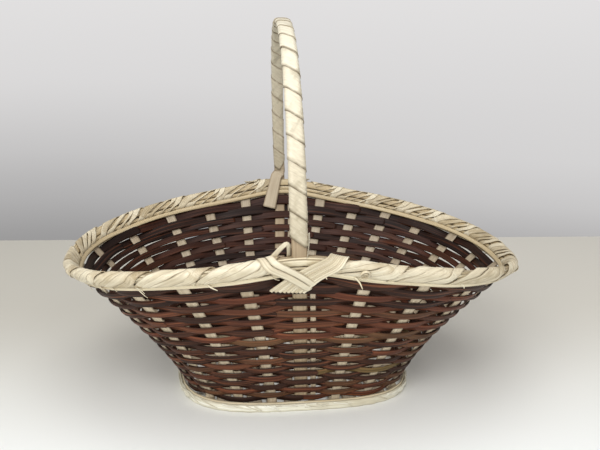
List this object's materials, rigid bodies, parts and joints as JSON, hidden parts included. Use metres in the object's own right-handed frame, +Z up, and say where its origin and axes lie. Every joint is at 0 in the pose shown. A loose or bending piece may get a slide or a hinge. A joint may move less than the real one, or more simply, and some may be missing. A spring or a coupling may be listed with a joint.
{
  "type": "wicker basket",
  "caption": "Oval handwoven bamboo basket with flared walls, a saddle-shaped lashed rim, a low foot ring and a fixed wrapped arch handle, for carrying and serving.",
  "frame": {"origin": "centre of the footprint, on the surface the basket stands on", "axes": "+X along the basket's length; the handle arches over the middle in the YZ plane, from its front leg at -Y to its back leg at +Y; +Z up"},
  "size_m": [0.407, 0.2942, 0.3243],
  "materials": {
    "brown_bamboo": "dyed, slight sheen",
    "pale_bamboo": "natural, satin",
    "cream_bamboo": "natural skin side, slight sheen",
    "tan_bamboo": "natural, satin"
  },
  "bodies": {
    "root": {"base_slat_1": "pale_bamboo", "base_slat_2": "pale_bamboo", "base_slat_3": "pale_bamboo", "base_slat_4": "pale_bamboo", "base_slat_5": "pale_bamboo", "corner_stake_1": "pale_bamboo", "corner_stake_2": "pale_bamboo", "corner_stake_3": "pale_bamboo", "corner_stake_4": "pale_bamboo", "cross_stake_1": "pale_bamboo", "cross_stake_2": "pale_bamboo", "cross_stake_3": "pale_bamboo", "cross_stake_4": "pale_bamboo", "cross_stake_5": "pale_bamboo", "cross_stake_6": "pale_bamboo", "cross_stake_7": "pale_bamboo", "foot_hoop_inner": "cream_bamboo", "foot_hoop_outer": "cream_bamboo", "handle_splint_inner": "tan_bamboo", "handle_splint_outer": "tan_bamboo", "handle_tie_back_narrow": "cream_bamboo", "handle_tie_back_wide": "cream_bamboo", "handle_tie_front_narrow": "cream_bamboo", "handle_tie_front_wide": "cream_bamboo", "handle_wrap": "cream_bamboo", "long_stake_1": "pale_bamboo", "long_stake_2": "pale_bamboo", "long_stake_3": "pale_bamboo", "rim_hoop_inner_lower": "pale_bamboo", "rim_hoop_inner_upper": "pale_bamboo", "rim_hoop_outer_lower": "pale_bamboo", "rim_hoop_outer_upper": "pale_bamboo", "rim_lashing_left": "cream_bamboo", "rim_lashing_right": "cream_bamboo", "weaver_01": "brown_bamboo", "weaver_02": "brown_bamboo", "weaver_03": "brown_bamboo", "weaver_04": "brown_bamboo", "weaver_05": "brown_bamboo", "weaver_06": "brown_bamboo", "weaver_07": "brown_bamboo", "weaver_08": "brown_bamboo", "weaver_09": "brown_bamboo", "weaver_10": "brown_bamboo", "weaver_11": "brown_bamboo", "weaver_12": "brown_bamboo", "weaver_13": "brown_bamboo", "weaver_14": "brown_bamboo", "weaver_15": "brown_bamboo", "weaver_16": "brown_bamboo", "weaver_17": "brown_bamboo", "weaver_18": "brown_bamboo", "weaver_19": "brown_bamboo", "weaver_20": "brown_bamboo", "weaver_21": "brown_bamboo", "weaver_22": "brown_bamboo", "weaver_23": "brown_bamboo", "weaver_24": "brown_bamboo"}
  },
  "joints": []
}
